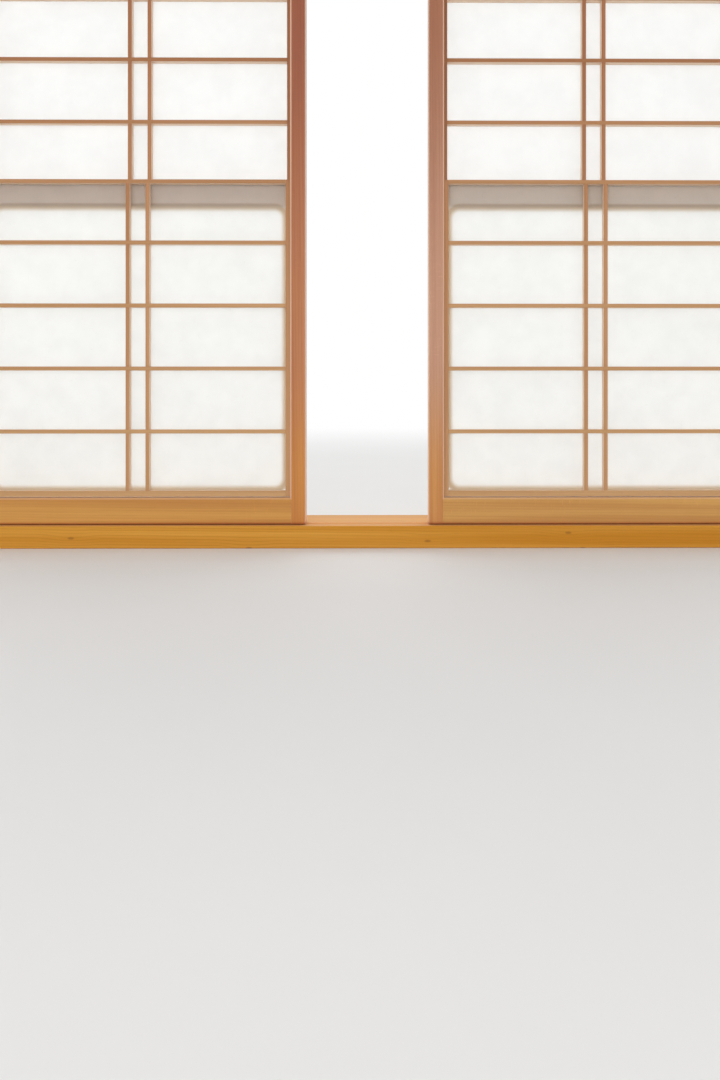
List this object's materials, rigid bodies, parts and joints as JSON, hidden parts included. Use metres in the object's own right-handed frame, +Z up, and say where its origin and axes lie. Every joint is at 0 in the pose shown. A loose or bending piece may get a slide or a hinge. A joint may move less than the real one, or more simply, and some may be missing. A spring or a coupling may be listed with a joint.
{
  "type": "shoji sliding screen",
  "caption": "Parting pair of snow-viewing shoji leaves with small paper screens that lift, in a wooden frame with a grooved sill and head.",
  "frame": {"origin": "middle of the underside of the sill", "axes": "+X to the right seen from the room, +Y to the outer side with the paper, +Z up"},
  "size_m": [2.514, 0.13, 1.317],
  "materials": {
    "frame_wood": "planed, golden",
    "leaf_wood": "planed, reddish",
    "lattice_wood": "planed, thin",
    "paper": "fibrous, translucent",
    "glass": "clear",
    "spring_steel": "plain"
  },
  "bodies": {
    "frame": {"sill": "frame_wood", "head": "frame_wood", "left_post": "frame_wood", "right_post": "frame_wood"},
    "left_leaf": {"left_meeting_stile": "leaf_wood", "left_outer_stile": "leaf_wood", "left_top_rail": "leaf_wood", "left_middle_rail": "leaf_wood", "left_bottom_rail": "leaf_wood", "left_upright_edge_strips": "lattice_wood", "left_level_edge_strips": "lattice_wood", "left_upper_cross_bar_1": "lattice_wood", "left_upper_cross_bar_2": "lattice_wood", "left_upper_cross_bar_3": "lattice_wood", "left_upper_cross_bar_4": "lattice_wood", "left_upper_upright_bars": "lattice_wood", "left_upper_paper": "paper", "left_glass": "glass", "left_upright_glazing_beads": "lattice_wood", "left_level_glazing_beads": "lattice_wood"},
    "left_screen": {"left_screen_meeting_stile": "leaf_wood", "left_screen_outer_stile": "leaf_wood", "left_screen_top_rail": "lattice_wood", "left_screen_bottom_rail": "lattice_wood", "left_screen_cross_bar_1": "lattice_wood", "left_screen_cross_bar_2": "lattice_wood", "left_screen_cross_bar_3": "lattice_wood", "left_screen_cross_bar_4": "lattice_wood", "left_screen_upright_bars": "lattice_wood", "left_screen_paper": "paper", "left_screen_springs": "spring_steel"},
    "right_leaf": {"right_meeting_stile": "leaf_wood", "right_outer_stile": "leaf_wood", "right_top_rail": "leaf_wood", "right_middle_rail": "leaf_wood", "right_bottom_rail": "leaf_wood", "right_upright_edge_strips": "lattice_wood", "right_level_edge_strips": "lattice_wood", "right_upper_cross_bar_1": "lattice_wood", "right_upper_cross_bar_2": "lattice_wood", "right_upper_cross_bar_3": "lattice_wood", "right_upper_cross_bar_4": "lattice_wood", "right_upper_upright_bars": "lattice_wood", "right_upper_paper": "paper", "right_glass": "glass", "right_upright_glazing_beads": "lattice_wood", "right_level_glazing_beads": "lattice_wood"},
    "right_screen": {"right_screen_meeting_stile": "leaf_wood", "right_screen_outer_stile": "leaf_wood", "right_screen_top_rail": "lattice_wood", "right_screen_bottom_rail": "lattice_wood", "right_screen_cross_bar_1": "lattice_wood", "right_screen_cross_bar_2": "lattice_wood", "right_screen_cross_bar_3": "lattice_wood", "right_screen_cross_bar_4": "lattice_wood", "right_screen_upright_bars": "lattice_wood", "right_screen_paper": "paper", "right_screen_springs": "spring_steel"}
  },
  "joints": [
    {"name": "left_leaf_slide", "type": "slide", "parent": "frame", "child": "left_leaf", "axis": [-1, 0, 0], "range_m": [-0.1117, 0.4985]},
    {"name": "left_screen_lift", "type": "slide", "parent": "left_leaf", "child": "left_screen", "axis": [0, 0, 1], "range_m": [0, 0.5665]},
    {"name": "right_leaf_slide", "type": "slide", "parent": "frame", "child": "right_leaf", "axis": [1, 0, 0], "range_m": [-0.1117, 0.4985]},
    {"name": "right_screen_lift", "type": "slide", "parent": "right_leaf", "child": "right_screen", "axis": [0, 0, 1], "range_m": [0, 0.5665]}
  ]
}
